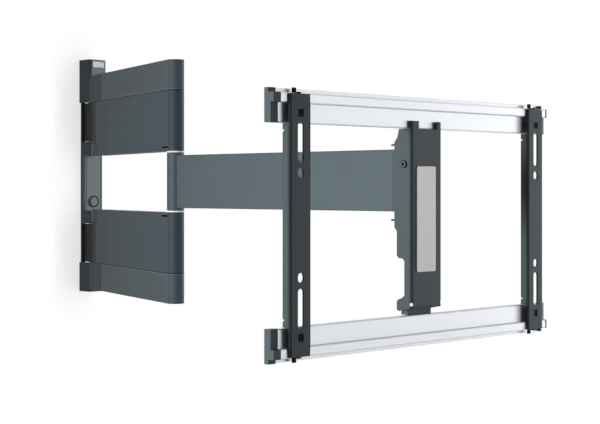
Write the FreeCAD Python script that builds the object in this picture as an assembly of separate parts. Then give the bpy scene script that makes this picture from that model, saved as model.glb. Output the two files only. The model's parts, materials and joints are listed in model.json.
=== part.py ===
import FreeCAD, Part
import math
import os

# Swivel TV wall mount, shown drawn out from the wall.
# Frame: the wall is the plane Y = 0, the screen side is -Y, +X is to the right, +Z is up.
# The origin lies on the wall, under the wall hinge axis, at mid height of the arms.

# Arms, in plan
HINGE_Y = 14.0            # wall hinge axis to the wall
INNER_LENGTH = 335.0      # wall hinge axis to elbow axis
INNER_ANGLE = 17.2        # lean of the inner arm from square to the wall, degrees
OUTER_LENGTH = 395.0      # elbow axis to head pivot axis
RUN_FIT = 0.05            # radial clearance of a pin in its bore
GAP = 0.5                 # plain gap between faces that pass each other
SEAT = 0.3                # gap of a piece that is hung or clamped on another

# Inner arm
ARM_WIDTH = 23.0          # thickness of the pressed arm plates
ARM_WALL = 2.5
ARM_TOP = 161.5           # top of the upper cover, and as far down for the lower one
SEAM_Z = 121.0            # seam between arm plate and cover
SEAM_GROOVE = 0.8         # shadow line round the seam
COVER_CUT = 25.0          # reach of the cover cut that clears the caps
KNUCKLE_INSET = 1.5       # wall knuckle to the face of the arm plate
KNUCKLE_REACH = 37.0      # wall hinge axis to the start of the arm plate
KNUCKLE_TONGUE = 12.0     # length of the knuckle inside the arm plate
KNUCKLE_WALL = 4.0
CABLE_SLOT_LENGTH = 22.0
CABLE_SLOT_HEIGHT = 2.2
CABLE_SLOT_OFFSET = -1.0  # end of the slot past the elbow axis
CABLE_SLOT_EDGE = 4.0

# Pins
WALL_PIN_R = 5.0
ELBOW_PIN_R = 5.0
HEAD_PIN_R = 4.0
ELBOW_PIN_END = 105.0
PIN_HEAD_R = 7.0
PIN_HEAD_HEIGHT = 2.5

# Wall unit
BACK_WIDTH = 26.0         # flat back plate
BACK_THICK = 2.0
STRIP_WIDTH = 32.0        # raised channel between the inner brackets
STRIP_SHIFT = 7.0         # middle of the channel to the right of the wall hinge axis
STRIP_DEPTH = 10.0
STRIP_WALL = 2.0
BLOCK_WIDTH = 31.0        # caps and brackets, over the back plate
BLOCK_SHIFT = 3.0         # their middle to the right of the wall hinge axis
BLOCK_DEPTH = 27.0
CAP_TOP = 188.0
CAP_BOTTOM = 167.0
WALL_WASHER = 1.5         # arm plate to the edge of the caps
CAP_WALL = 2.5
BRACKET_STEP = 2.5        # arm plate's inner edge to the bracket's
BRACKET_HEIGHT = 19.5
CORNER_R = 3.0
EAR_HEIGHT = 14.0         # steel ear inside each cap
BRACKET_FIT = 1.0         # inner bracket to the knuckle above it
WALL_HOLE_R = 3.3
WALL_HOLE_Z = 150.0
BUTTON_Z = -29.3          # round button on the raised channel
BUTTON_R = 9.2
BUTTON_HEAD = 1.2
BUTTON_STEM_R = 4.0
BUTTON_RING = 1.6
BUTTON_RIM = 0.8
LABEL_WIDTH = 20.0
LABEL_HEIGHT = 9.0
LABEL_THICK = 0.8

# Outer arm
BAR_HEIGHT = 70.0
BAR_STEP = 3.5            # bar's edge to the end of the elbow column
ELBOW_WASHER = 2.0
BAR_THICK = 12.0
BAR_WALL = 2.0
BAR_CORNER = 2.0
COLUMN_R = 11.5
HEAD_TUBE_R = 10.0

# Swivel bracket at the end of the outer arm
HEAD_WASHER_TOP = 3.5
HEAD_WASHER_LOW = 8.0
SWIVEL_PLATE = 2.5
SWIVEL_R = 11.0
CHEEK_THICK = 2.5
CHEEK_INSET = 1.0         # cheek to the head channel's flange
CHEEK_BOTTOM = 2.0        # above the arms' mid height, so the tilting head clears it
CHEEK_FRONT = 10.5
SWIVEL_WEB_FRONT = 10.5   # back of the web, in front of the head pivot axis

# Screen frame; depths run back from the front plane of the uprights
PIVOT_TO_FRONT = 41.0
FRAME_Z = -46.0
UPRIGHT_X = 200.0
UPRIGHT_WIDTH = 31.0
UPRIGHT_SHORT = 0.7       # end of an upright inside the outer edge of the rail's lip
UPRIGHT_SHEET = 2.0
UPRIGHT_DEPTH = 10.5      # flange on the left of each upright
UPRIGHT_DEPTH_RIGHT = 8.0
UPRIGHT_NARROW = 2.0
BEND_R = 3.0              # outer radius of folded sheet
SLOT_R = 4.1
BOLT_HALF = 100.0         # half of the screen's bolt spacing, at the outer end of a long slot
LONG_SLOT_TRAVEL = 32.2
SHORT_SLOT_MID = 52.8
SHORT_SLOT_TRAVEL = 1.8
CLAMP_W = 7.8
CLAMP_H = 8.2
CLAMP_FIT = 0.25
CLAMP_SET_BACK = 0.8
NOTCH_IN = 7.8            # notch in a flange, inside the rail's inner edge
NOTCH = 2.0

RAIL_HALF = 224.7         # half length of an aluminium rail
LIP_FRONT = 3.3
LIP_STEP = 4.4            # lip to recessed face
RAIL_BACK = 17.0
RAIL_WALL = 2.0
RAIL_REBATE = 0.8         # small step along each edge of the extrusion
RAIL_INNER = 103.0        # frame centre to the inner edge of a rail
RECESS_HEIGHT = 20.3
LIP_HEIGHT = 9.9
FIN_HEIGHT = 4.8
CAP_FRONT_LEFT = 10.0
CAP_FRONT_RIGHT = 2.5
CAP_TAB = 6.0             # thickness of the cap where it stands behind the fin
CLIP_WIDTH = 4.2
CLIP_BACK = 11.2
CLIP_KNOB = 2.4
CLIP_KNOB_RISE = 4.7
CLIP_THICK = 0.8
CLIP_HOLD = 5.0           # how far the clip reaches down behind the upright

# Head
HEAD_WIDTH = 52.0
HEAD_FRONT = 3.0
HEAD_SHEET = 2.5
HEAD_BOTTOM = -141.0
HEAD_FLANGE = 21.5
HEAD_FLANGE_HUMP = 3.5
HEAD_HUMP_TOP = 46.0
HEAD_HUMP_BOTTOM = -52.0
HEAD_FLANGE_LOW = -86.0   # the flange is narrower below this height
HEAD_FLANGE_FOOT = -129.5
HEAD_FLANGE_NARROW = 10.5
HEAD_FOOT_DROP = 3.2      # the flange's foot slopes down towards the wall
HEAD_EDGE = 2.0           # chamfer along the foot of the front plate
CORNER_HOLE_R = 1.9       # bending relief at the foot of each fold
CORNER_HOLE_UP = 4.6
FLANGE_CORNER = 3.0       # size of the flange's corner cuts
FLANGE_STEP = 4.0
HOOK_HEIGHT = 8.5
HOOK_WIDTH_LEFT = 12.5
HOOK_WIDTH_RIGHT = 7.5
TILT_Z = 17.7
TILT_DEPTH = 14.0
TILT_SCREW_R = 3.0
TILT_HEAD_R = 4.4
TILT_HEAD = 1.8
SOCKET_R = 1.6
SOCKET_DEPTH = 1.2
INLAY_LEFT = 8.0
INLAY_WIDTH = 32.0
INLAY_TOP = 15.5
INLAY_BOTTOM = -101.0
INLAY_THICK = 1.2
INLAY_CORNER = 2.0
CATCH_WIDTH = 39.0
CATCH_START = 13.5        # catch depth behind the uprights' front plane
CATCH_DEPTH = 10.0
CATCH_TRAVEL = 5.0
CATCH_STEM = 20.0         # stem above the foot of the head
CATCH_STEM_WIDTH = 16.0
CATCH_STEM_THICK = 3.0
GUIDE_WALL = 2.0
GUIDE_HEIGHT = 14.0

# Worked-out places
LEAN = math.radians(INNER_ANGLE)
WALL_AXIS = (0.0, -HINGE_Y)
ELBOW = (-INNER_LENGTH * math.sin(LEAN), -HINGE_Y - INNER_LENGTH * math.cos(LEAN))
HEAD_AXIS = (ELBOW[0], ELBOW[1] - OUTER_LENGTH)
FRONT_Y = HEAD_AXIS[1] - PIVOT_TO_FRONT
MID_X = HEAD_AXIS[0]
UP = FreeCAD.Vector(0, 0, 1)
COLUMN_HALF = BAR_HEIGHT / 2 + BAR_STEP
ARM_INNER_EDGE = COLUMN_HALF + ELBOW_WASHER
CAP_EDGE = SEAM_Z + WALL_WASHER
BRACKET_LOW = ARM_INNER_EDGE + BRACKET_STEP
BRACKET_HIGH = BRACKET_LOW + BRACKET_HEIGHT
SWIVEL_TOP = BAR_HEIGHT / 2 + HEAD_WASHER_TOP
SWIVEL_BOTTOM = BAR_HEIGHT / 2 + HEAD_WASHER_LOW
RAIL_LIP_INNER = RAIL_INNER + RECESS_HEIGHT
RAIL_LIP_OUTER = RAIL_LIP_INNER + LIP_HEIGHT
RAIL_OUTER = RAIL_LIP_OUTER + FIN_HEIGHT
UPRIGHT_HALF = RAIL_LIP_OUTER - UPRIGHT_SHORT
CLAMP_Z = RAIL_INNER + RECESS_HEIGHT / 2
KNUCKLE_Z = BRACKET_HIGH + BRACKET_FIT
HEAD_TOP = FRAME_Z + RAIL_INNER - SEAT
HOOK_DEPTH = LIP_FRONT + LIP_STEP - SEAT - HEAD_FRONT


def box(x0, x1, y0, y1, z0, z1):
    return Part.makeBox(x1 - x0, y1 - y0, z1 - z0, FreeCAD.Vector(x0, y0, z0))


def rod(place, radius, z0, z1):
    return Part.makeCylinder(radius, z1 - z0, FreeCAD.Vector(place[0], place[1], z0), UP)


def rod_along(start, direction, radius, length):
    return Part.makeCylinder(radius, length, FreeCAD.Vector(*start), FreeCAD.Vector(*direction))


def fuse(pieces):
    return pieces[0].multiFuse(pieces[1:]).removeSplitter()


def upright_edges(shape):
    return [e for e in shape.Edges if abs(e.tangentAt(e.FirstParameter).z) > 0.99]


def round_upright_edges(shape, radius):
    """Rounds the vertical edges of a block."""
    return shape.makeFillet(radius, upright_edges(shape))


def round_front_folds(shape, front):
    """Rounds the vertical edges in the front plane, as bent sheet has them."""
    edges = [e for e in upright_edges(shape) if e.CenterOfMass.y < FRONT_Y + front + GAP / 2]
    lines = sorted(edges, key=lambda e: e.CenterOfMass.x)
    left, right = lines[0].CenterOfMass.x, lines[-1].CenterOfMass.x
    outer = [e for e in edges if min(abs(e.CenterOfMass.x - left), abs(e.CenterOfMass.x - right)) < GAP / 2]
    return shape.makeFillet(BEND_R, outer)


def in_frame(x0, x1, depth0, depth1, z0, z1):
    """A box given across the head and by depth behind the uprights' front plane."""
    return box(MID_X + x0, MID_X + x1, FRONT_Y + depth0, FRONT_Y + depth1, z0, z1)


def prism_x(points, x0, x1):
    """Extrudes an outline of (depth, z) points along X, measured from mid head."""
    corners = [FreeCAD.Vector(MID_X + x0, FRONT_Y + d, z) for d, z in points]
    face = Part.Face(Part.makePolygon(corners + corners[:1]))
    return face.extrude(FreeCAD.Vector(x1 - x0, 0, 0))


def mirror_z(shape, about=0.0):
    return shape.mirror(FreeCAD.Vector(0, 0, about), UP)


def arm_slab(along0, along1, half, z0, z1):
    """A block along the inner arm, between two distances from the wall hinge axis."""
    slab = box(-half, half, -along1, -along0, z0, z1)
    return lean_with_arm(slab)


def lean_with_arm(shape):
    shape.rotate(FreeCAD.Vector(0, 0, 0), UP, -INNER_ANGLE)
    shape.translate(FreeCAD.Vector(WALL_AXIS[0], WALL_AXIS[1], 0))
    return shape


def arm_body(start, half, z0, z1):
    """A slab from a distance along the inner arm to a round end about the elbow."""
    return fuse([arm_slab(start, INNER_LENGTH, half, z0, z1), rod(ELBOW, half, z0, z1)])


# Wall unit

def wall_plate():
    """The back plate on the wall, with a raised channel between the two inner brackets."""
    plate = box(BLOCK_SHIFT - BACK_WIDTH / 2, BLOCK_SHIFT + BACK_WIDTH / 2, -BACK_THICK, 0,
                -CAP_BOTTOM + CAP_WALL, CAP_TOP - CAP_WALL)
    left = STRIP_SHIFT - STRIP_WIDTH / 2
    right = STRIP_SHIFT + STRIP_WIDTH / 2
    strip = box(left, right, -STRIP_DEPTH, 0, -BRACKET_LOW, BRACKET_LOW)
    hollow = box(left + STRIP_WALL, right - STRIP_WALL, -STRIP_DEPTH + STRIP_WALL, -BACK_THICK,
                 -BRACKET_LOW - GAP, BRACKET_LOW + GAP)
    plate = fuse([plate, strip]).cut(hollow)
    for z in (-WALL_HOLE_Z, WALL_HOLE_Z):
        plate = plate.cut(rod_along((BLOCK_SHIFT, -STRIP_DEPTH - GAP, z), (0, 1, 0), WALL_HOLE_R,
                                    STRIP_DEPTH + 2 * GAP))
    return plate.cut(rod_along((STRIP_SHIFT, -STRIP_DEPTH - GAP, BUTTON_Z), (0, 1, 0), BUTTON_STEM_R,
                               STRIP_WALL + 2 * GAP))


def block(z0, z1):
    half = BLOCK_WIDTH / 2
    body = box(BLOCK_SHIFT - half, BLOCK_SHIFT + half, -BLOCK_DEPTH, -BACK_THICK, z0, z1)
    return round_upright_edges(body, CORNER_R)


def cap(top, inner_edge):
    """A moulded cap over the end of the wall plate, open towards the wall and the hinge."""
    left = BLOCK_SHIFT - BLOCK_WIDTH / 2
    right = BLOCK_SHIFT + BLOCK_WIDTH / 2
    shell = round_upright_edges(box(left, right, -BLOCK_DEPTH, CORNER_R, inner_edge, top), CORNER_R)
    hollow = box(left + CAP_WALL, right - CAP_WALL, -BLOCK_DEPTH + CAP_WALL, CORNER_R + GAP,
                 inner_edge - GAP, top - CAP_WALL)
    behind = box(left - GAP, right + GAP, 0, CORNER_R + GAP, inner_edge - GAP, top + GAP)
    return shell.cut(hollow).cut(behind)


def ear():
    """A steel ear that holds the outer end of a wall hinge pin, inside a cap."""
    half = BLOCK_WIDTH / 2 - CAP_WALL
    body = box(BLOCK_SHIFT - half, BLOCK_SHIFT + half, -BLOCK_DEPTH + CAP_WALL, -BACK_THICK,
               CAP_EDGE, CAP_EDGE + EAR_HEIGHT)
    return body.cut(rod(WALL_AXIS, WALL_PIN_R, CAP_EDGE - GAP, CAP_EDGE + EAR_HEIGHT + GAP))


def inner_bracket():
    """A cast bracket next to mid height that holds the inner end of a wall hinge pin."""
    body = block(BRACKET_LOW, BRACKET_HIGH)
    return body.cut(rod(WALL_AXIS, WALL_PIN_R, BRACKET_LOW - GAP, BRACKET_HIGH + GAP))


def wall_pin():
    return rod(WALL_AXIS, WALL_PIN_R, BRACKET_LOW, CAP_EDGE + EAR_HEIGHT)


def wall_washers():
    rings = []
    for z0, z1 in ((SEAM_Z, CAP_EDGE), (BRACKET_HIGH, KNUCKLE_Z)):
        ring = rod(WALL_AXIS, ARM_WIDTH / 2 - KNUCKLE_INSET, z0, z1)
        rings.append(ring.cut(rod(WALL_AXIS, WALL_PIN_R + RUN_FIT, z0 - GAP, z1 + GAP)))
    return Part.makeCompound(rings + [mirror_z(ring) for ring in rings])


def button():
    """A round button pressed into the raised channel, with a ring groove in its face."""
    place = (STRIP_SHIFT, -STRIP_DEPTH - BUTTON_HEAD, BUTTON_Z)
    head = rod_along(place, (0, 1, 0), BUTTON_R, BUTTON_HEAD)
    stem = rod_along(place, (0, 1, 0), BUTTON_STEM_R, BUTTON_HEAD + STRIP_WALL + GAP)
    ring = rod_along(place, (0, 1, 0), BUTTON_R - BUTTON_RIM, BUTTON_HEAD / 2)
    ring = ring.cut(rod_along(place, (0, 1, 0), BUTTON_R - BUTTON_RIM - BUTTON_RING, BUTTON_HEAD / 2))
    return fuse([head, stem]).cut(ring)


def label():
    front = -BLOCK_DEPTH
    top = CAP_TOP - CORNER_R
    return box(BLOCK_SHIFT - LABEL_WIDTH / 2, BLOCK_SHIFT + LABEL_WIDTH / 2, front - LABEL_THICK, front,
               top - LABEL_HEIGHT, top)


# Inner arm

def wall_knuckle():
    """The steel knuckle that the arm plate is welded on; it turns on the wall pin."""
    half = ARM_WIDTH / 2 - KNUCKLE_INSET
    body = fuse([rod(WALL_AXIS, half, KNUCKLE_Z, SEAM_Z), arm_slab(0, KNUCKLE_REACH, half, KNUCKLE_Z, SEAM_Z)])
    tongue = arm_slab(KNUCKLE_REACH, KNUCKLE_REACH + KNUCKLE_TONGUE, ARM_WIDTH / 2 - ARM_WALL,
                      KNUCKLE_Z, SEAM_Z - ARM_WALL)
    return fuse([body, tongue]).cut(rod(WALL_AXIS, WALL_PIN_R + RUN_FIT, KNUCKLE_Z - GAP, SEAM_Z + GAP))


def arm_plate():
    """The upper pressed plate: a hollow section with a round end and the elbow's tube."""
    radius = ARM_WIDTH / 2
    low, high = ARM_INNER_EDGE, SEAM_Z
    shell = arm_body(KNUCKLE_REACH, radius, low, high)
    shell = shell.cut(arm_body(KNUCKLE_REACH - GAP, radius - ARM_WALL, low + ARM_WALL, high - ARM_WALL))
    elbow_tube = rod(ELBOW, ELBOW_PIN_R + KNUCKLE_WALL, low, high)
    plate = fuse([shell, elbow_tube])
    plate = plate.cut(rod(ELBOW, ELBOW_PIN_R, low - GAP, high + GAP))
    slot_low = low + CABLE_SLOT_EDGE
    slot_end = INNER_LENGTH - CABLE_SLOT_OFFSET
    slot = box(-radius - GAP, -radius + ARM_WALL, -slot_end, -slot_end + CABLE_SLOT_LENGTH,
               slot_low, slot_low + CABLE_SLOT_HEIGHT)
    return plate.cut(lean_with_arm(slot))


def arm_cover():
    """The moulded cover that closes the arm plate, cut back round the wall cap."""
    radius = ARM_WIDTH / 2
    seam = SEAM_Z + SEAM_GROOVE
    shell = fuse([arm_body(0, radius, seam, ARM_TOP), arm_body(0, radius - SEAM_GROOVE, SEAM_Z, seam)])
    shell = shell.cut(arm_body(-GAP, radius - ARM_WALL, SEAM_Z - GAP, ARM_TOP - ARM_WALL))
    end_wall = rod(WALL_AXIS, COVER_CUT + ARM_WALL, SEAM_Z, ARM_TOP)
    end_wall = end_wall.common(arm_body(0, radius - ARM_WALL / 2, SEAM_Z, ARM_TOP - ARM_WALL / 2))
    cut = rod(WALL_AXIS, COVER_CUT, SEAM_Z - GAP, ARM_TOP + GAP)
    return fuse([shell, end_wall]).cut(cut)


def elbow_pin():
    return rod(ELBOW, ELBOW_PIN_R, -ELBOW_PIN_END, ELBOW_PIN_END)


def elbow_washers():
    ring = rod(ELBOW, ARM_WIDTH / 2, COLUMN_HALF + RUN_FIT, ARM_INNER_EDGE)
    ring = ring.cut(rod(ELBOW, ELBOW_PIN_R, COLUMN_HALF, ARM_INNER_EDGE + GAP))
    return Part.makeCompound([ring, mirror_z(ring)])


# Outer arm

def arm_bar():
    """The flat tube of the outer arm, from the elbow column to the head tube."""
    half = BAR_THICK / 2
    tall = BAR_HEIGHT / 2
    x, y = ELBOW
    tube = box(x - half, x + half, y - OUTER_LENGTH, y, -tall, tall)
    long_edges = [e for e in tube.Edges if abs(e.tangentAt(e.FirstParameter).y) > 0.99]
    tube = tube.makeFillet(BAR_CORNER, long_edges)
    hollow = box(x - half + BAR_WALL, x + half - BAR_WALL, y - OUTER_LENGTH - GAP, y + GAP,
                 -tall + BAR_WALL, tall - BAR_WALL)
    tube = tube.cut(hollow)
    tube = tube.cut(rod(ELBOW, COLUMN_R, -COLUMN_HALF, COLUMN_HALF))
    return tube.cut(rod(HEAD_AXIS, HEAD_TUBE_R, -COLUMN_HALF, COLUMN_HALF))


def elbow_column():
    column = rod(ELBOW, COLUMN_R, -COLUMN_HALF, COLUMN_HALF)
    return column.cut(rod(ELBOW, ELBOW_PIN_R + RUN_FIT, -COLUMN_HALF - GAP, COLUMN_HALF + GAP))


def head_tube():
    tube = rod(HEAD_AXIS, HEAD_TUBE_R, -BAR_HEIGHT / 2, BAR_HEIGHT / 2)
    return tube.cut(rod(HEAD_AXIS, HEAD_PIN_R + RUN_FIT, -BAR_HEIGHT, BAR_HEIGHT))


# Swivel head

def swivel_bracket():
    """A folded bracket: two plates on the head tube, a web and a cheek at each side."""
    half = HEAD_WIDTH / 2 - HEAD_SHEET - CHEEK_INSET
    x, y = HEAD_AXIS
    web_back = y - SWIVEL_WEB_FRONT
    web_front = web_back - CHEEK_THICK
    low = -SWIVEL_BOTTOM - SWIVEL_PLATE
    top = SWIVEL_TOP + SWIVEL_PLATE
    pieces = [box(x - SWIVEL_R, x + SWIVEL_R, web_front, web_back, low, CHEEK_BOTTOM),
              box(x - half, x + half, web_front, web_back, CHEEK_BOTTOM, top)]
    for z in (SWIVEL_TOP, low):
        pieces.append(box(x - SWIVEL_R, x + SWIVEL_R, web_front, y, z, z + SWIVEL_PLATE))
        pieces.append(rod(HEAD_AXIS, SWIVEL_R, z, z + SWIVEL_PLATE))
    for side in (-1, 1):
        edges = sorted((x + side * half, x + side * (half - CHEEK_THICK)))
        pieces.append(box(edges[0], edges[1], FRONT_Y + CHEEK_FRONT, web_back, CHEEK_BOTTOM, top))
    bracket = fuse(pieces)
    bracket = bracket.cut(rod(HEAD_AXIS, HEAD_PIN_R, low - GAP, top + GAP))
    return bracket.cut(rod_along((x - HEAD_WIDTH, FRONT_Y + TILT_DEPTH, TILT_Z), (1, 0, 0),
                                 TILT_SCREW_R + RUN_FIT, 2 * HEAD_WIDTH))


def head_pin():
    top = SWIVEL_TOP + SWIVEL_PLATE
    low = -SWIVEL_BOTTOM - SWIVEL_PLATE
    shank = rod(HEAD_AXIS, HEAD_PIN_R, low, top)
    return fuse([shank, rod(HEAD_AXIS, PIN_HEAD_R, top, top + PIN_HEAD_HEIGHT),
                 rod(HEAD_AXIS, PIN_HEAD_R, low - PIN_HEAD_HEIGHT, low)])


def head_washers():
    bore = rod(HEAD_AXIS, HEAD_PIN_R, -2 * SWIVEL_BOTTOM, 2 * SWIVEL_TOP)
    top = rod(HEAD_AXIS, HEAD_TUBE_R, BAR_HEIGHT / 2 + RUN_FIT, SWIVEL_TOP).cut(bore)
    low = rod(HEAD_AXIS, HEAD_TUBE_R, -SWIVEL_BOTTOM, -BAR_HEIGHT / 2 - RUN_FIT).cut(bore)
    return Part.makeCompound([top, low])


# Tilting head

def head_outline():
    """The side of the head, as (depth, z) points."""
    back = HEAD_FRONT + HEAD_FLANGE
    hump = back + HEAD_FLANGE_HUMP
    narrow = HEAD_FRONT + HEAD_FLANGE_NARROW
    cut, step = FLANGE_CORNER, FLANGE_STEP
    low, foot, end = HEAD_FLANGE_LOW, HEAD_FLANGE_FOOT, HEAD_BOTTOM
    return [(HEAD_FRONT, HEAD_TOP), (back - cut, HEAD_TOP), (back - cut / 3, HEAD_TOP - 3 * cut),
            (hump, HEAD_HUMP_TOP - step), (hump, HEAD_HUMP_BOTTOM), (back, HEAD_HUMP_BOTTOM - step),
            (back, low + cut), (back - cut, low), (narrow + cut, low), (narrow, low - cut),
            (narrow, foot + cut), (narrow + cut, foot), (back - cut, foot - cut / 2),
            (back, foot - step), (back, end - HEAD_FOOT_DROP + cut / 2), (back - cut, end - HEAD_FOOT_DROP),
            (HEAD_FRONT + HEAD_SHEET, end), (HEAD_FRONT + HEAD_EDGE, end), (HEAD_FRONT, end + HEAD_EDGE)]


def head_channel():
    """The folded head: a front plate with two top hooks and a shaped flange at each side."""
    half = HEAD_WIDTH / 2
    back = HEAD_FRONT + HEAD_FLANGE + HEAD_FLANGE_HUMP
    body = prism_x(head_outline(), -half, half)
    body = body.cut(in_frame(-half + HEAD_SHEET, half - HEAD_SHEET, HEAD_FRONT + HEAD_SHEET, back + GAP,
                             HEAD_BOTTOM - 2 * HEAD_FOOT_DROP, HEAD_TOP + GAP))
    hook_top = HEAD_TOP + HOOK_HEIGHT
    for x0, x1 in ((-half, -half + HOOK_WIDTH_LEFT), (half - HOOK_WIDTH_RIGHT, half)):
        body = fuse([body, in_frame(x0, x1, HEAD_FRONT, HEAD_FRONT + HOOK_DEPTH, HEAD_TOP, hook_top)])
    body = round_front_folds(body, HEAD_FRONT)
    for side in (-1, 1):
        corner = (MID_X + side * (half + CORNER_HOLE_R), FRONT_Y + HEAD_FRONT - CORNER_HOLE_R,
                  HEAD_BOTTOM + CORNER_HOLE_UP)
        body = body.cut(rod_along(corner, (-side, 1, 0), CORNER_HOLE_R, HEAD_FLANGE_NARROW))
    return body.cut(rod_along((MID_X - HEAD_WIDTH, FRONT_Y + TILT_DEPTH, TILT_Z), (1, 0, 0),
                              TILT_SCREW_R, 2 * HEAD_WIDTH))


def inlay():
    left = -HEAD_WIDTH / 2 + INLAY_LEFT
    plate = in_frame(left, left + INLAY_WIDTH, HEAD_FRONT - INLAY_THICK, HEAD_FRONT, INLAY_BOTTOM, INLAY_TOP)
    corners = [e for e in plate.Edges if abs(e.tangentAt(e.FirstParameter).y) > 0.99]
    return plate.makeFillet(INLAY_CORNER, corners)


def tilt_screw(side):
    """A shouldered screw through one flange and the cheek inside it."""
    outer = MID_X + side * HEAD_WIDTH / 2
    place = (outer, FRONT_Y + TILT_DEPTH, TILT_Z)
    reach = HEAD_SHEET + CHEEK_INSET + CHEEK_THICK + GAP
    shank = rod_along(place, (-side, 0, 0), TILT_SCREW_R, reach)
    head = rod_along(place, (side, 0, 0), TILT_HEAD_R, TILT_HEAD)
    socket = rod_along((outer + side * (TILT_HEAD - SOCKET_DEPTH), place[1], place[2]), (side, 0, 0),
                       SOCKET_R, TILT_HEAD)
    return fuse([shank, head]).cut(socket)


def stem_depths():
    """Front and back of the catch's stem, in the middle of the catch."""
    middle = CATCH_START + CATCH_STEM_THICK / 2
    return middle - CATCH_STEM_THICK / 2, middle + CATCH_STEM_THICK / 2


def catch_guide():
    """The guide inside the foot of the head that the catch slides in."""
    half = CATCH_STEM_WIDTH / 2 + GAP
    front, back = stem_depths()
    low = HEAD_BOTTOM + CATCH_TRAVEL + GUIDE_WALL
    body = in_frame(-half - GUIDE_WALL, half + GUIDE_WALL, HEAD_FRONT + HEAD_SHEET, back + GAP + GUIDE_WALL,
                    low, low + GUIDE_HEIGHT)
    return body.cut(in_frame(-half, half, front - GAP, back + GAP, low - GAP, low + GUIDE_HEIGHT + GAP))


def catch():
    """The sprung catch under the head that locks on the lower rail."""
    rail_top = FRAME_Z - RAIL_INNER
    front, back = stem_depths()
    block_body = in_frame(-CATCH_WIDTH / 2, CATCH_WIDTH / 2, CATCH_START, CATCH_START + CATCH_DEPTH,
                          rail_top + SEAT, HEAD_BOTTOM - SEAT)
    stem = in_frame(-CATCH_STEM_WIDTH / 2, CATCH_STEM_WIDTH / 2, front, back,
                    HEAD_BOTTOM - SEAT - GAP, HEAD_BOTTOM + CATCH_STEM)
    return fuse([block_body, stem])


# Screen frame

def rail_levels():
    """Heights of a rail's inner edge, its lip and its fin."""
    return [FRAME_Z + v for v in (RAIL_INNER, RAIL_LIP_INNER, RAIL_LIP_OUTER, RAIL_OUTER)]


def rail():
    """The upper extruded rail: a lip in front, a recessed face below it and a fin behind."""
    step = LIP_FRONT + LIP_STEP
    z = rail_levels()
    back, wall, cut = RAIL_BACK, RAIL_WALL, RAIL_REBATE
    outline = [(step, z[0] + cut), (step + cut, z[0] + cut), (step + cut, z[0]), (back, z[0]), (back, z[3]),
               (back - wall, z[3]), (back - wall, z[2]), (LIP_FRONT + cut, z[2]), (LIP_FRONT + cut, z[2] - cut),
               (LIP_FRONT, z[2] - cut), (LIP_FRONT, z[1] + cut), (LIP_FRONT + cut, z[1] + cut),
               (LIP_FRONT + cut, z[1]), (step, z[1])]
    body = prism_x(outline, -RAIL_HALF, RAIL_HALF)
    low = in_frame(-RAIL_HALF - GAP, RAIL_HALF + GAP, step + wall, back - wall, z[0] + wall, z[1])
    high = in_frame(-RAIL_HALF - GAP, RAIL_HALF + GAP, LIP_FRONT + wall, back - wall, z[1] + wall, z[2] - wall)
    return body.cut(low).cut(high)


def rail_cap(side):
    """A moulded plug that closes one end of the upper rail."""
    step = LIP_FRONT + LIP_STEP
    z = rail_levels()
    tab = RAIL_BACK - CAP_TAB
    outline = [(step, z[0]), (RAIL_BACK, z[0]), (RAIL_BACK, z[3]), (tab, z[3]), (tab, z[2]),
               (LIP_FRONT, z[2]), (LIP_FRONT, z[1]), (step, z[1])]
    if side < 0:
        return prism_x(outline, -RAIL_HALF - CAP_FRONT_LEFT, -RAIL_HALF)
    return prism_x(outline, RAIL_HALF, RAIL_HALF + CAP_FRONT_RIGHT)


def slot(x, z0, z1):
    """The cutter for an upright slot with round ends, between the centres of its ends."""
    start = FRONT_Y - GAP
    depth = UPRIGHT_SHEET + 2 * GAP
    ends = [rod_along((MID_X + x, start, z), (0, 1, 0), SLOT_R, depth) for z in (z0, z1)]
    return fuse(ends + [box(MID_X + x - SLOT_R, MID_X + x + SLOT_R, start, start + depth, z0, z1)])


def end_cuts(x, sign):
    """What is cut from one end of an upright: clearance for the rail, slots, clamp hole and notch."""
    half = UPRIGHT_WIDTH / 2
    beyond = UPRIGHT_HALF + GAP
    deep = UPRIGHT_DEPTH + GAP

    def along(z0, z1):
        return sorted((FRAME_Z + sign * z0, FRAME_Z + sign * z1))

    short = (SHORT_SLOT_MID - SHORT_SLOT_TRAVEL / 2, SHORT_SLOT_MID + SHORT_SLOT_TRAVEL / 2)
    return [in_frame(x - half - GAP, x + half + GAP, UPRIGHT_SHEET, deep, *along(RAIL_INNER - GAP, beyond)),
            in_frame(x + half - UPRIGHT_NARROW, x + half + GAP, -GAP, deep, *along(RAIL_LIP_INNER, beyond)),
            slot(x, *along(BOLT_HALF - LONG_SLOT_TRAVEL, BOLT_HALF)),
            slot(x, *along(*short)),
            in_frame(x - CLAMP_W / 2, x + CLAMP_W / 2, -GAP, deep,
                     *along(CLAMP_Z - CLAMP_H / 2, CLAMP_Z + CLAMP_H / 2)),
            in_frame(x - half - GAP, x + half + GAP, UPRIGHT_DEPTH - NOTCH, deep,
                     *along(RAIL_INNER - NOTCH_IN - NOTCH / 2, RAIL_INNER - NOTCH_IN + NOTCH / 2))]


def upright(x):
    """A slotted steel channel that the screen is bolted to."""
    half = UPRIGHT_WIDTH / 2
    low, high = FRAME_Z - UPRIGHT_HALF, FRAME_Z + UPRIGHT_HALF
    body = round_front_folds(in_frame(x - half, x + half, 0, UPRIGHT_DEPTH, low, high), 0)
    body = body.cut(in_frame(x - half + UPRIGHT_SHEET, x + half - UPRIGHT_SHEET, UPRIGHT_SHEET,
                             UPRIGHT_DEPTH + GAP, low - GAP, high + GAP))
    body = body.cut(in_frame(x, x + half + GAP, UPRIGHT_DEPTH_RIGHT, UPRIGHT_DEPTH + GAP, low - GAP, high + GAP))
    for sign in (-1, 1):
        for cutter in end_cuts(x, sign):
            body = body.cut(cutter)
    return body


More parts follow.
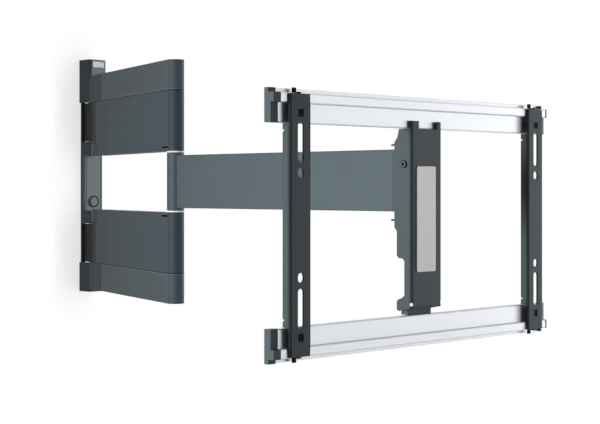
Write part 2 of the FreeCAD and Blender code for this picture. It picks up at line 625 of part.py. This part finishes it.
def clamp_block(x, sign):
    """A square block in the upright that is screwed up to the rail's recessed face."""
    middle = FRAME_Z + sign * CLAMP_Z
    half_w = CLAMP_W / 2 - CLAMP_FIT
    half_h = CLAMP_H / 2 - CLAMP_FIT
    return in_frame(x - half_w, x + half_w, CLAMP_SET_BACK, LIP_FRONT + LIP_STEP - SEAT,
                    middle - half_h, middle + half_h)


def clip(x):
    """A small bent clip held behind the upright's top that reaches over the upper rail."""
    half = CLIP_WIDTH / 2
    rail_top = FRAME_Z + RAIL_LIP_OUTER + SEAT
    over = rail_top + CLIP_THICK
    foot = in_frame(x - half, x + half, UPRIGHT_SHEET, UPRIGHT_SHEET + CLIP_THICK,
                    FRAME_Z + UPRIGHT_HALF - CLIP_HOLD, over)
    strap = in_frame(x - half, x + half, UPRIGHT_SHEET, CLIP_BACK, rail_top, over)
    knob = in_frame(x - half, x + half, CLIP_BACK - CLIP_KNOB, CLIP_BACK, rail_top, over + CLIP_KNOB_RISE)
    return fuse([foot, strap, knob])


def both_rails(shape):
    return [shape, mirror_z(shape, FRAME_Z)]


def make_parts():
    parts = {"wall_plate": wall_plate(), "top_cap": cap(CAP_TOP, CAP_EDGE),
             "bottom_cap": mirror_z(cap(CAP_BOTTOM, CAP_EDGE)),
             "wall_washers": wall_washers(), "channel_button": button(), "blank_label": label()}
    for name, shape in (("ear", ear()), ("inner_bracket", inner_bracket()), ("wall_pin", wall_pin()),
                        ("wall_knuckle", wall_knuckle()), ("arm_plate", arm_plate()), ("arm_cover", arm_cover())):
        parts["upper_" + name] = shape
        parts["lower_" + name] = mirror_z(shape)
    parts["elbow_pin"] = elbow_pin()
    parts["elbow_washers"] = elbow_washers()
    parts["outer_arm_bar"] = arm_bar()
    parts["elbow_column"] = elbow_column()
    parts["head_tube"] = head_tube()
    parts["swivel_bracket"] = swivel_bracket()
    parts["head_pin"] = head_pin()
    parts["head_washers"] = head_washers()
    parts["head_channel"] = head_channel()
    parts["inlay_plate"] = inlay()
    parts["catch_guide"] = catch_guide()
    parts["rail_catch"] = catch()
    parts["upper_rail"], parts["lower_rail"] = both_rails(rail())
    for name, side in (("left", -1), ("right", 1)):
        x = side * UPRIGHT_X
        parts["tilt_screw_" + name] = tilt_screw(side)
        parts["upper_rail_cap_" + name], parts["lower_rail_cap_" + name] = both_rails(rail_cap(side))
        parts[name + "_upright"] = upright(x)
        parts[name + "_clamp_blocks"] = Part.makeCompound([clamp_block(x, -1), clamp_block(x, 1)])
        parts[name + "_rail_clips"] = Part.makeCompound(both_rails(clip(x)))
    return parts


os.makedirs("parts", exist_ok=True)
for node, shape in make_parts().items():
    shape.exportStep("parts/" + node + ".step")
    print(node, len(shape.Solids), shape.isValid(), round(shape.Volume))
print("elbow", ELBOW, "head", HEAD_AXIS, "front", FRONT_Y, "mid x", MID_X)
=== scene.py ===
import json
import math

import bpy
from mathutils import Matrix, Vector


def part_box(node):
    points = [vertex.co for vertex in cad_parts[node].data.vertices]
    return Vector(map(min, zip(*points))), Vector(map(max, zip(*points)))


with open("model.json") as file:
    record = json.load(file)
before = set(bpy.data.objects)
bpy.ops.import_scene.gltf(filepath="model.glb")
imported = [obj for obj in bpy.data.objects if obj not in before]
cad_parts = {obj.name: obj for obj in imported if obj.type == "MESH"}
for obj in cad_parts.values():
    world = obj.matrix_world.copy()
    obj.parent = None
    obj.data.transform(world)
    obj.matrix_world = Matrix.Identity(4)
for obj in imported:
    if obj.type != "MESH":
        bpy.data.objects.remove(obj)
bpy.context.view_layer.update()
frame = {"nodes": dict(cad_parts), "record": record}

# Lengths are in metres, powers in watts and colours linear, unless a name says otherwise

# Camera, fitted to the photograph's 600 x 424 frame
FOCAL_PX = 1400.0
PHOTO_WIDTH = 600.0
HORIZON_ABOVE_MIDDLE_PX = 24.0
SENSOR_MM = 36.0
CAMERA_AT = (-1.2927, -1.7662, -0.0085)
CAMERA_TURN = math.radians(-44.89)
CAMERA_REACH = 50.0

# Colours
GREY_COAT = (0.064, 0.083, 0.091)
# Arm plates: the grey coat painted darker, as painted shade
PLATE_PAINTED_SHADE_COAT = (0.035, 0.049, 0.059)
UPRIGHT_COAT = (0.052, 0.067, 0.074)
# Outer arm bar: the grey coat painted lighter, as painted light
BAR_PAINTED_LIGHT_COAT = (0.074, 0.097, 0.105)
COVER_GREY = (0.054, 0.070, 0.081)
BLACK = (0.006, 0.007, 0.008)
CAP_GREY = (0.066, 0.086, 0.092)
CAP_COAT = (0.031, 0.040, 0.045)
# Painted shade on the arm's plates near the wall hinge; the first tone also darkens the covers' hinge end
HINGE_END_AND_SHADE = (0.020, 0.026, 0.030)
PLATE_SHADE = (0.029, 0.041, 0.049)
# Painted light on the front of the top cap
PAINTED_LIGHT_GREY = (0.080, 0.092, 0.100)
ALUMINIUM = (0.375, 0.385, 0.405)
BRUSHED = (0.20, 0.20, 0.20)
NYLON = (0.82, 0.83, 0.83)
LABEL_GREY = (0.45, 0.47, 0.50)

# Gloss: specular level and roughness
COAT_SHEEN = 0.10
BLACK_SHEEN = 0.02
COAT_ROUGHNESS = 0.45
ZONED_ROUGHNESS = 0.5
PIN_ROUGHNESS = 0.4
PLASTIC_ROUGHNESS = 0.55
COVER_ROUGHNESS = 0.5
NYLON_ROUGHNESS = 0.5
LABEL_ROUGHNESS = 0.4

# Orange peel of coats and plastics: noise scale, bump strength and depth
COAT_GRAIN = 900.0
COAT_BUMP = 0.12
FINE_BUMP = 0.10
PLASTIC_GRAIN = 1600.0
GRAIN_DEPTH = 0.0002
GRAIN_DETAIL = 3.0
# Broad mottling: noise scale, and how much lighter and darker it gets
MOTTLE_SCALE = 6.0
COAT_MOTTLE = 0.06
ZONED_MOTTLE = 0.05
RINGED_MOTTLE = 0.04
# The part of a noise over which a colour runs from its low to its high end
RAMP_LOW = 0.3
RAMP_HIGH = 0.7
# Rounding that the shading gives to edges
EDGE_ROUND = 0.0006
EDGE_SAMPLES = 4
# Lines drawn along bare metal
METAL_SHARE = 0.65
LINE_DETAIL = 4.0
LINE_DEPTH = 0.0001
SATIN = {"roughness": 0.36, "stretch": (0.6, 60.0, 60.0), "scale": 60.0, "strength": 0.02, "contrast": 0.02}
BRUSHING = {"roughness": 0.4, "stretch": (1.2, 60.0, 80.0), "scale": 80.0, "strength": 0.05, "contrast": 0.09}

# The first arm's turn about Z at rest, and a limit that no place on it reaches
ARM_LEAN = math.radians(17.2)
BEYOND = 0.1
# Dotted moulding of its covers: pitch along and up, depth, threshold, bump strength and tone of the dots
DOT_PITCH_ALONG = 0.0060
DOT_PITCH_UP = 0.0036
DOT_DEPTH = 0.0004
DOT_REACH = 0.10
DOT_BUMP = 0.6
DOT_TONE = 0.3
# The dots lie beyond the seams above and below the middle, and end before the cover's round end
SEAM_Z = 0.1235
ROUND_END = -0.342
# Dark groove of a seam, and a painted highlight along its rim, as heights from the middle
GROOVE = (0.1206, 0.1219)
SEAM_HIGHLIGHT = (0.1219, 0.1229)
SEAM_HIGHLIGHT_TONE = 1.7
# Darker hinge end of the covers, partly painted shade of the recess by the wall, and the dark gap before it,
# as places along the arm
HINGE_END = -0.087
HINGE_GAP = 0.0025
# Painted shade on the arm's plates at their hinge ends by the wall, as places along the arm and half the
# height between the brackets
SHADE_FROM = -0.120
HINGE_SHADE_FROM = -0.076
BLACK_SHADE_FROM = -0.066
BETWEEN_BRACKETS = 0.0575
ARM_PLATE_SHADE_ZONES = [
    ({"Y": (SHADE_FROM, BEYOND)}, PLATE_SHADE),
    ({"Y": (BLACK_SHADE_FROM, BEYOND)}, BLACK),
    ({"Y": (HINGE_SHADE_FROM, BEYOND), "Z": (-BETWEEN_BRACKETS, BETWEEN_BRACKETS)}, HINGE_END_AND_SHADE),
]

# Painted shade along the bend and the crease of the wall channel, and painted light on the front at the top
# of the cap
SHADED_CHANNEL_BEND = (0.0200, 0.0400)
SHADED_CHANNEL_CREASE = (-0.0072, -0.0058)
CHANNEL_SHADE_ZONES = [({"X": SHADED_CHANNEL_BEND}, BLACK), ({"X": SHADED_CHANNEL_CREASE}, BLACK)]
PAINTED_LIGHT_BOX = {"X": (-0.0080, 0.0400), "Y": (-0.0400, -0.0260), "Z": (0.1640, 0.2000)}
# Round button on the wall channel: middle, and the dark ring's inner and outer radius
BUTTON_AT = (0.007, -0.011, -0.0293)
BUTTON_RINGS = [(0.0064, 0.0092)]
# Tilt screws: dark socket and dark edge, as distances from the axis, which runs along X
SOCKET_RADIUS = 0.0016
SCREW_EDGE = 0.0039
SCREW_RINGS = [(-BEYOND, SOCKET_RADIUS), (SCREW_EDGE, BEYOND)]
ACROSS_X = (0.0, 1.0, 1.0)
# Folded edges, with painted shade along them: how far it reaches, and how much darker it is
BEND_REACH = 0.0032
BEND_SLACK = 0.001
BEND_SHADE_TONE = 0.4

# Backdrop: white floor with a glow, and a clear wall
BACKDROP = (0.80, 0.80, 0.80)
BACKDROP_GLOW = 0.95
BACKDROP_ROUGHNESS = 0.9
WALL_Y = 0.0012
FLOOR_Z = -0.62
FLOOR_REACH = 6.0
WALL_REACH = 0.6
# Soft shadow that the wall unit throws to its left: reach, darkest tone and where the light comes from
SHADOW_REACH = 0.055
SHADOW_FLOOR = 0.66
SHADOW_SIDE = (0.8, -0.6, 0.0)
SHADOW_SAMPLES = 16
# Light: what the white world gives, and the lamps' name, place, aim, size, power and spread in degrees
WORLD_STRENGTH = 0.06
LAMPS = [
    ("left_softbox", (-2.2, -0.62, 0.05), (-0.1, -0.62, -0.03), (0.9, 1.4), 3.3, 60.0),
    ("left_strip", (-2.1, -0.22, 0.0), (-0.15, -0.70, -0.03), (0.5, 0.8), 3.7, 50.0),
    ("front_softbox", (1.1, -2.4, 0.0), (0.0, -0.5, -0.03), (1.2, 1.4), 3.9, 90.0),
    ("wall_softbox", (1.5, -1.1, 0.25), (0.0, -0.02, 0.0), (0.3, 0.5), 1.25, 22.0),
    ("back_softbox", (1.3, 1.9, 0.7), (-0.1, -0.45, -0.03), (1.4, 1.4), 12.0, 120.0),
    ("right_softbox", (2.2, -0.25, 0.15), (0.0, -0.45, -0.03), (0.9, 1.4), 2.6, 80.0),
    ("side_softbox", (1.7, -1.5, -0.02), (0.12, -0.77, -0.04), (0.5, 0.8), 0.5, 35.0),
]

# Colour sockets of a mix node, by number, because their names are shared
MIX_COLOUR_A = 6
MIX_COLOUR_B = 7
MIX_COLOUR_OUT = 2


def place_camera():
    data = bpy.data.cameras.new("camera")
    data.sensor_width = SENSOR_MM
    data.lens = FOCAL_PX / PHOTO_WIDTH * SENSOR_MM
    data.shift_y = -HORIZON_ABOVE_MIDDLE_PX / PHOTO_WIDTH
    data.clip_end = CAMERA_REACH
    camera = bpy.data.objects.new("camera", data)
    camera.location = CAMERA_AT
    camera.rotation_euler = (math.pi / 2, 0.0, CAMERA_TURN)
    bpy.context.scene.collection.objects.link(camera)
    bpy.context.scene.camera = camera


def new_material(name):
    material = bpy.data.materials.new(name)
    material.use_nodes = True
    nodes = material.node_tree.nodes
    return material, nodes, material.node_tree.links, nodes["Principled BSDF"]


def scaled(colour, factor):
    return tuple(c * factor for c in colour)


def math_node(nodes, links, operation, first, second=0.0):
    """A step of arithmetic on numbers or sockets."""
    step = nodes.new("ShaderNodeMath")
    step.operation = operation
    for socket, value in ((step.inputs[0], first), (step.inputs[1], second)):
        if isinstance(value, float):
            socket.default_value = value
        else:
            links.new(value, socket)
    return step.outputs["Value"]


def vector_node(nodes, links, operation, vector, value):
    """A step of arithmetic on a vector socket and a fixed vector."""
    step = nodes.new("ShaderNodeVectorMath")
    step.operation = operation
    step.inputs[1].default_value = value
    links.new(vector, step.inputs[0])
    return step.outputs["Vector"]


def sine_of(nodes, links, value, pitch):
    """A wave with the pitch given, from -1 to 1."""
    return math_node(nodes, links, "SINE", math_node(nodes, links, "MULTIPLY", value, 2.0 * math.pi / pitch))


def band_mask(nodes, links, value, low, high):
    """One where the value lies between two limits."""
    above = math_node(nodes, links, "GREATER_THAN", value, low)
    below = math_node(nodes, links, "LESS_THAN", value, high)
    return math_node(nodes, links, "MULTIPLY", above, below)


def tinted(nodes, links, colour, mask, other):
    """The colour, with another where the mask is one."""
    mix = nodes.new("ShaderNodeMix")
    mix.data_type = "RGBA"
    links.new(mask, mix.inputs["Factor"])
    links.new(colour, mix.inputs[MIX_COLOUR_A])
    mix.inputs[MIX_COLOUR_B].default_value = (*other, 1.0)
    return mix.outputs[MIX_COLOUR_OUT]


def mixed_colour(nodes, links, fac, low, high):
    """A colour that runs from low to high with a factor."""
    ramp = nodes.new("ShaderNodeValToRGB")
    ramp.color_ramp.elements[0].color = (*low, 1.0)
    ramp.color_ramp.elements[1].color = (*high, 1.0)
    ramp.color_ramp.elements[0].position = RAMP_LOW
    ramp.color_ramp.elements[1].position = RAMP_HIGH
    links.new(fac, ramp.inputs["Fac"])
    return ramp.outputs["Color"]


def object_noise(nodes, links, scale, stretch=(1.0, 1.0, 1.0), detail=GRAIN_DETAIL):
    """Noise that stays with the piece, stretched along its axes."""
    place = nodes.new("ShaderNodeTexCoord")
    mapping = nodes.new("ShaderNodeMapping")
    mapping.inputs["Scale"].default_value = stretch
    noise = nodes.new("ShaderNodeTexNoise")
    noise.inputs["Scale"].default_value = scale
    noise.inputs["Detail"].default_value = detail
    links.new(place.outputs["Object"], mapping.inputs["Vector"])
    links.new(mapping.outputs["Vector"], noise.inputs["Vector"])
    return noise.outputs["Fac"]


def mottled(nodes, links, colour, share):
    """The colour, a little lighter and darker in broad patches."""
    broad = object_noise(nodes, links, MOTTLE_SCALE)
    return mixed_colour(nodes, links, broad, scaled(colour, 1.0 - share), scaled(colour, 1.0 + share))


def split_along(nodes, links, lean):
    """Object coordinates turned about Z, so that Y runs along the arm, split in three."""
    place = nodes.new("ShaderNodeTexCoord")
    along = nodes.new("ShaderNodeMapping")
    along.inputs["Rotation"].default_value = (0.0, 0.0, lean)
    split = nodes.new("ShaderNodeSeparateXYZ")
    links.new(place.outputs["Object"], along.inputs["Vector"])
    links.new(along.outputs["Vector"], split.inputs["Vector"])
    return split


def add_bump(nodes, links, shader, height, strength, distance):
    """Relief from a height, over rounded edges."""
    bump = nodes.new("ShaderNodeBump")
    bump.inputs["Strength"].default_value = strength
    bump.inputs["Distance"].default_value = distance
    rounding = nodes.new("ShaderNodeBevel")
    rounding.samples = EDGE_SAMPLES
    rounding.inputs["Radius"].default_value = EDGE_ROUND
    links.new(height, bump.inputs["Height"])
    links.new(rounding.outputs["Normal"], bump.inputs["Normal"])
    links.new(bump.outputs["Normal"], shader.inputs["Normal"])


def set_gloss(shader, roughness, sheen=COAT_SHEEN):
    shader.inputs["Roughness"].default_value = roughness
    shader.inputs["Specular IOR Level"].default_value = sheen


def powder_coat(name, colour, roughness=COAT_ROUGHNESS, grain=COAT_GRAIN, strength=COAT_BUMP,
                sheen=COAT_SHEEN):
    """Powder-coated steel: fine orange peel, with faint mottling."""
    material, nodes, links, shader = new_material(name)
    links.new(mottled(nodes, links, colour, COAT_MOTTLE), shader.inputs["Base Color"])
    set_gloss(shader, roughness, sheen)
    add_bump(nodes, links, shader, object_noise(nodes, links, grain), strength, GRAIN_DEPTH)
    return material


def moulded_plastic(name, colour, roughness=PLASTIC_ROUGHNESS):
    return powder_coat(name, colour, roughness, PLASTIC_GRAIN, FINE_BUMP)


def dotted_cover(name, colour):
    """Moulded cover: rows of small dimples beyond the grooved seams, a painted highlight along each seam's
    rim, and a darker hinge end that is partly painted shade.
    """
    material, nodes, links, shader = new_material(name)
    split = split_along(nodes, links, ARM_LEAN)
    along = split.outputs["Y"]
    height = math_node(nodes, links, "ABSOLUTE", split.outputs["Z"])
    wave_along = sine_of(nodes, links, along, DOT_PITCH_ALONG)
    wave_up = sine_of(nodes, links, split.outputs["Z"], DOT_PITCH_UP)
    dots = math_node(nodes, links, "MULTIPLY", wave_along, wave_up)
    dots = math_node(nodes, links, "MAXIMUM", math_node(nodes, links, "SUBTRACT", dots, DOT_REACH), 0.0)
    for mask in (math_node(nodes, links, "GREATER_THAN", height, SEAM_Z),
                 band_mask(nodes, links, along, ROUND_END, HINGE_END)):
        dots = math_node(nodes, links, "MULTIPLY", dots, mask)
    shade = mixed_colour(nodes, links, dots, colour, scaled(colour, DOT_TONE))
    # Dark seam groove, painted highlight above it, darker hinge end that is partly painted shade, and the
    # dark gap before that end
    for value, limits, tone in ((height, GROOVE, BLACK),
                                (height, SEAM_HIGHLIGHT, scaled(colour, SEAM_HIGHLIGHT_TONE)),
                                (along, (HINGE_END, BEYOND), HINGE_END_AND_SHADE),
                                (along, (HINGE_END - HINGE_GAP, HINGE_END), BLACK)):
        shade = tinted(nodes, links, shade, band_mask(nodes, links, value, *limits), tone)
    links.new(shade, shader.inputs["Base Color"])
    set_gloss(shader, COVER_ROUGHNESS)
    add_bump(nodes, links, shader, math_node(nodes, links, "MULTIPLY", dots, -1.0), DOT_BUMP, DOT_DEPTH)
    return material


def metal(name, colour, roughness, stretch, scale, strength, contrast):
    """Bare metal with fine lines drawn along it."""
    material, nodes, links, shader = new_material(name)
    lines = object_noise(nodes, links, scale, stretch, LINE_DETAIL)
    tint = mixed_colour(nodes, links, lines, scaled(colour, 1.0 - contrast), scaled(colour, 1.0 + contrast))
    links.new(tint, shader.inputs["Base Color"])
    shader.inputs["Metallic"].default_value = METAL_SHARE
    shader.inputs["Roughness"].default_value = roughness
    add_bump(nodes, links, shader, lines, strength, LINE_DEPTH)
    return material


def ringed(name, middle, rings, coat, across=(1.0, 1.0, 1.0)):
    """A coat with dark rings round a middle: button gap, screw edge and socket."""
    material, nodes, links, shader = new_material(name)
    place = nodes.new("ShaderNodeTexCoord")
    shift = vector_node(nodes, links, "SUBTRACT", place.outputs["Object"], middle)
    away = nodes.new("ShaderNodeVectorMath")
    away.operation = "LENGTH"
    links.new(vector_node(nodes, links, "MULTIPLY", shift, across), away.inputs[0])
    shade = mottled(nodes, links, coat, RINGED_MOTTLE)
    for low, high in rings:
        shade = tinted(nodes, links, shade, band_mask(nodes, links, away.outputs["Value"], low, high), BLACK)
    links.new(shade, shader.inputs["Base Color"])
    set_gloss(shader, COAT_ROUGHNESS)
    add_bump(nodes, links, shader, object_noise(nodes, links, COAT_GRAIN), FINE_BUMP, GRAIN_DEPTH)
    return material


def zoned(name, coat, zones, lean=0.0):
    """A coat whose tone changes in boxes of the frame, such as painted shade at a bend or painted light on a
    face.
    """
    material, nodes, links, shader = new_material(name)
    split = split_along(nodes, links, lean)
    shade = mottled(nodes, links, coat, ZONED_MOTTLE)
    for limits, colour in zones:
        mask = 1.0
        for axis, (low, high) in limits.items():
            band = band_mask(nodes, links, split.outputs[axis], low, high)
            mask = math_node(nodes, links, "MULTIPLY", band, mask)
        shade = tinted(nodes, links, shade, mask, colour)
    links.new(shade, shader.inputs["Base Color"])
    set_gloss(shader, ZONED_ROUGHNESS)
    add_bump(nodes, links, shader, object_noise(nodes, links, COAT_GRAIN), FINE_BUMP, GRAIN_DEPTH)
    return material


def painted_bend_shade(name, coat):
    """The two folded edges at the front of a channel, with painted shade darkening the coat along them."""
    low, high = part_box(name)
    dark = scaled(coat, BEND_SHADE_TONE)
    front = (low[1] - BEND_SLACK, low[1] + BEND_REACH)
    left = (low[0] - BEND_SLACK, low[0] + BEND_REACH)
    right = (high[0] - BEND_REACH, high[0] + BEND_SLACK)
    return [({"X": left, "Y": front}, dark), ({"X": right, "Y": front}, dark)]


def middle_of(name):
    low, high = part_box(name)
    return tuple((a + b) / 2 for a, b in zip(low, high))


def folded(name, coat):
    """The coat of a channel, with painted shade along its folded edges."""
    return zoned(name + "_coat", coat, painted_bend_shade(name, coat))


def screw(name, node):
    return ringed(name, middle_of(node), SCREW_RINGS, GREY_COAT, ACROSS_X)


def make_materials():
    """The finishes, by material slot, and by node or kind where OWN_FINISH names one."""
    return {
        "steel": powder_coat("grey_powder_coat", GREY_COAT),
        "pin_steel": powder_coat("black_steel", BLACK, PIN_ROUGHNESS, sheen=BLACK_SHEEN),
        "cover_plastic": dotted_cover("cover_plastic", COVER_GREY),
        "black_plastic": moulded_plastic("grey_plastic", CAP_GREY),
        "nylon": moulded_plastic("nylon", NYLON, NYLON_ROUGHNESS),
        "aluminium": metal("satin_aluminium", ALUMINIUM, **SATIN),
        "brushed": metal("brushed_inlay", BRUSHED, **BRUSHING),
        "label": moulded_plastic("plain_label", LABEL_GREY, LABEL_ROUGHNESS),
        "bar": powder_coat("bar_coat_painted_light", BAR_PAINTED_LIGHT_COAT),
        "button": ringed("ringed_button", BUTTON_AT, BUTTON_RINGS, GREY_COAT),
        "left_screw": screw("screw_left", "tilt_screw_left"),
        "right_screw": screw("screw_right", "tilt_screw_right"),
        "left_upright": folded("left_upright", UPRIGHT_COAT),
        "right_upright": folded("right_upright", UPRIGHT_COAT),
        "head_channel": folded("head_channel", GREY_COAT),
        "wall_plate": zoned("wall_plate_coat", GREY_COAT, CHANNEL_SHADE_ZONES),
        "top_cap": zoned("top_cap_plastic", CAP_COAT, [(PAINTED_LIGHT_BOX, PAINTED_LIGHT_GREY)]),
        "bottom_cap": zoned("bottom_cap_plastic", CAP_COAT, []),
        "bracket": powder_coat("bracket_powder_coat", CAP_COAT),
        "arm_plate": zoned("plate_coat_painted_shade", PLATE_PAINTED_SHADE_COAT, ARM_PLATE_SHADE_ZONES, ARM_LEAN),
        "clip": powder_coat("black_clip", BLACK, sheen=BLACK_SHEEN),
    }


# Nodes whose finish isn't the usual one of their slot
OWN_FINISH = {
    "wall_plate": "wall_plate",
    "top_cap": "top_cap",
    "bottom_cap": "bottom_cap",
    "upper_arm_plate": "arm_plate",
    "lower_arm_plate": "arm_plate",
    "upper_inner_bracket": "bracket",
    "lower_inner_bracket": "bracket",
    "outer_arm_bar": "bar",
    "channel_button": "button",
    "tilt_screw_left": "left_screw",
    "tilt_screw_right": "right_screw",
    "left_upright": "left_upright",
    "right_upright": "right_upright",
    "head_channel": "head_channel",
    "left_rail_clips": "clip",
    "right_rail_clips": "clip",
}


def dress_nodes(materials):
    slot_of = {s["node"]: s["material_slot"] for s in frame["record"]["subparts"]}
    for name, node in frame["nodes"].items():
        node.data.materials.clear()
        node.data.materials.append(materials[OWN_FINISH.get(name, slot_of[name])])


def seen_directly(nodes, links):
    """One for rays from the camera, from gloss and through glass."""
    path = nodes.new("ShaderNodeLightPath")
    either = math_node(nodes, links, "MAXIMUM", path.outputs["Is Camera Ray"], path.outputs["Is Glossy Ray"])
    return math_node(nodes, links, "MAXIMUM", either, path.outputs["Is Transmission Ray"])


def floor_material():
    """Matt white that keeps shadows, with a glow so that the rest of it reads white."""
    material, nodes, links, shader = new_material("floor_white")
    shader.inputs["Base Color"].default_value = (*BACKDROP, 1.0)
    set_gloss(shader, BACKDROP_ROUGHNESS, 0.0)
    shine = nodes.new("ShaderNodeEmission")
    glow = math_node(nodes, links, "MULTIPLY", seen_directly(nodes, links), BACKDROP_GLOW)
    links.new(glow, shine.inputs["Strength"])
    add = nodes.new("ShaderNodeAddShader")
    links.new(shader.outputs["BSDF"], add.inputs[0])
    links.new(shine.outputs["Emission"], add.inputs[1])
    links.new(add.outputs["Shader"], nodes["Material Output"].inputs["Surface"])
    return material


def wall_material():
    """A clear wall that carries only the soft shadow of the wall unit, seen from the front."""
    material, nodes, links, shader = new_material("wall_shadow")
    nodes.remove(shader)
    side = nodes.new("ShaderNodeCombineXYZ")
    for socket, value in zip(side.inputs, SHADOW_SIDE):
        socket.default_value = value
    shadow = nodes.new("ShaderNodeAmbientOcclusion")
    shadow.samples = SHADOW_SAMPLES
    shadow.inputs["Distance"].default_value = SHADOW_REACH
    links.new(side.outputs["Vector"], shadow.inputs["Normal"])
    soft = nodes.new("ShaderNodeMapRange")
    soft.inputs["To Min"].default_value = SHADOW_FLOOR
    links.new(shadow.outputs["AO"], soft.inputs["Value"])
    shaded = nodes.new("ShaderNodeBsdfTransparent")
    links.new(soft.outputs["Result"], shaded.inputs["Color"])
    clear = nodes.new("ShaderNodeBsdfTransparent")
    path = nodes.new("ShaderNodeLightPath")
    facing = nodes.new("ShaderNodeNewGeometry")
    front = math_node(nodes, links, "SUBTRACT", 1.0, facing.outputs["Backfacing"])
    mix = nodes.new("ShaderNodeMixShader")
    links.new(math_node(nodes, links, "MULTIPLY", front, path.outputs["Is Camera Ray"]), mix.inputs["Fac"])
    links.new(clear.outputs["BSDF"], mix.inputs[1])
    links.new(shaded.outputs["BSDF"], mix.inputs[2])
    links.new(mix.outputs["Shader"], nodes["Material Output"].inputs["Surface"])
    return material


def add_panel(name, corners, material):
    mesh = bpy.data.meshes.new(name)
    mesh.from_pydata(corners, [], [(0, 1, 2, 3)])
    panel = bpy.data.objects.new(name, mesh)
    bpy.context.scene.collection.objects.link(panel)
    mesh.materials.append(material)


def build_stage():
    near = WALL_REACH
    wall = [(-near, WALL_Y, -near), (near, WALL_Y, -near), (near, WALL_Y, near), (-near, WALL_Y, near)]
    add_panel("wall", wall, wall_material())
    far = FLOOR_REACH
    floor = [(-far, -far, FLOOR_Z), (far, -far, FLOOR_Z), (far, far, FLOOR_Z), (-far, far, FLOOR_Z)]
    add_panel("floor", floor, floor_material())


def add_area(name, at, aim, size, power, spread):
    light = bpy.data.lights.new(name, "AREA")
    light.shape = "RECTANGLE"
    light.size, light.size_y = size
    light.energy = power
    light.spread = math.radians(spread)
    lamp = bpy.data.objects.new(name, light)
    lamp.location = at
    lamp.rotation_euler = (Vector(aim) - Vector(at)).to_track_quat("-Z", "Y").to_euler()
    bpy.context.scene.collection.objects.link(lamp)


def build_light():
    """A white world that lights the part only faintly, and the lamps."""
    world = bpy.data.worlds.new("studio")
    bpy.context.scene.world = world
    world.use_nodes = True
    nodes = world.node_tree.nodes
    links = world.node_tree.links
    back = nodes["Background"]
    back.inputs["Color"].default_value = (1.0, 1.0, 1.0, 1.0)
    seen = seen_directly(nodes, links)
    links.new(math_node(nodes, links, "MAXIMUM", seen, WORLD_STRENGTH), back.inputs["Strength"])
    for lamp in LAMPS:
        add_area(*lamp)


place_camera()
build_stage()
build_light()
dress_nodes(make_materials())
bpy.context.scene.view_settings.view_transform = "Standard"
